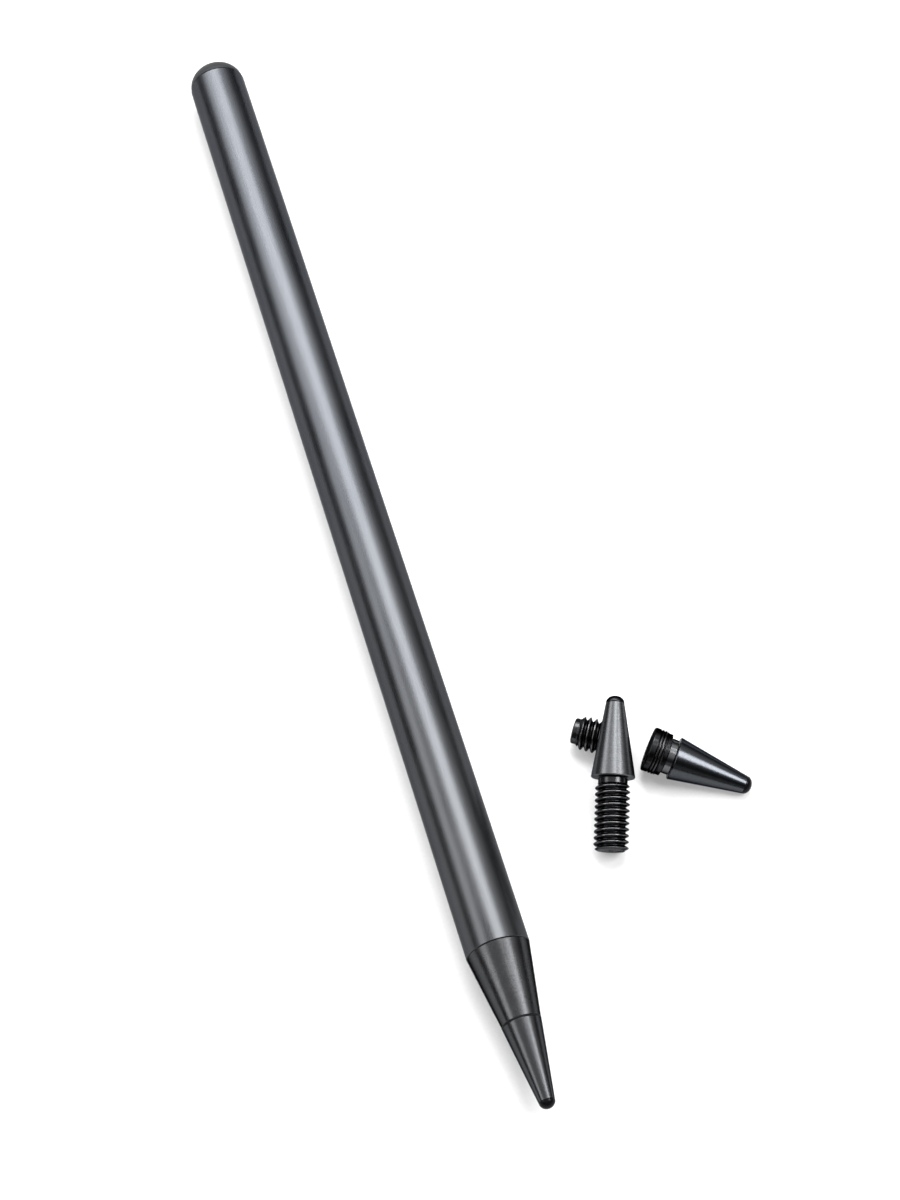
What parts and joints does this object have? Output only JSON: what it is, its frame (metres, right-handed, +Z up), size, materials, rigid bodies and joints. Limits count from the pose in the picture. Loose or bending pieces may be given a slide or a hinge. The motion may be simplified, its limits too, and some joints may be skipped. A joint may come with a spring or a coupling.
{
  "type": "stylus pen",
  "caption": "Slim metal stylus pen with a tapered nose, a screw-in pointed tip and a soft dome end, with spare tips and a loose threaded stud lying beside it.",
  "frame": {"origin": "on the flat along the barrel's underside, at the middle of the barrel's length, where the pen rests", "axes": "+Y along the pen from the writing tip to the dome, +Z up from the surface that it lies on, +X towards the loose pieces"},
  "size_m": [0.0428, 0.1702, 0.0088],
  "materials": {
    "gunmetal": "satin",
    "black_metal": "satin",
    "dome_rubber": "matte",
    "washer": "matte",
    "thread_steel": "satin",
    "tip_metal": "satin",
    "point": "gloss"
  },
  "bodies": {
    "pen": {"barrel": "gunmetal", "end_plug": "black_metal", "touch_dome": "dome_rubber", "nose_cone": "black_metal"},
    "tip_carriage": {"tip_washer": "washer"},
    "tip": {"tip_stud": "thread_steel", "tip_cone": "tip_metal", "tip_point": "point"},
    "spare_tip_a": {"spare_a_stud": "thread_steel", "spare_a_cone": "tip_metal", "spare_a_point": "tip_metal"},
    "spare_tip_b": {"spare_b_collar": "thread_steel", "spare_b_stud": "thread_steel", "spare_b_cone": "tip_metal", "spare_b_point": "point"},
    "stud": {"loose_stud": "thread_steel"}
  },
  "joints": [
    {"name": "tip_advance", "type": "slide", "parent": "pen", "child": "tip_carriage", "axis": [0, -1, 0], "range_m": [0, 0.0096]},
    {"name": "tip_turn", "type": "hinge", "parent": "tip_carriage", "child": "tip", "pos_m": [0, -0.0829, 0.0041], "axis": [0, -1, 0], "range_deg": [0, 4325]},
    {"name": "spare_a_lift", "type": "slide", "parent": "pen", "child": "spare_tip_a", "axis": [0, 0, 1], "range_m": [0, 0.03]},
    {"name": "spare_b_slide", "type": "slide", "parent": "pen", "child": "spare_tip_b", "axis": [0.8231, -0.5678, 0], "range_m": [0, 0.015]},
    {"name": "stud_slide", "type": "slide", "parent": "pen", "child": "stud", "axis": [-0.8387, 0.5446, 0], "range_m": [0, 0.008]}
  ],
  "couplings": [
    {"joint": "tip_turn", "follows": "tip_advance", "rad_per_m": 7854}
  ]
}
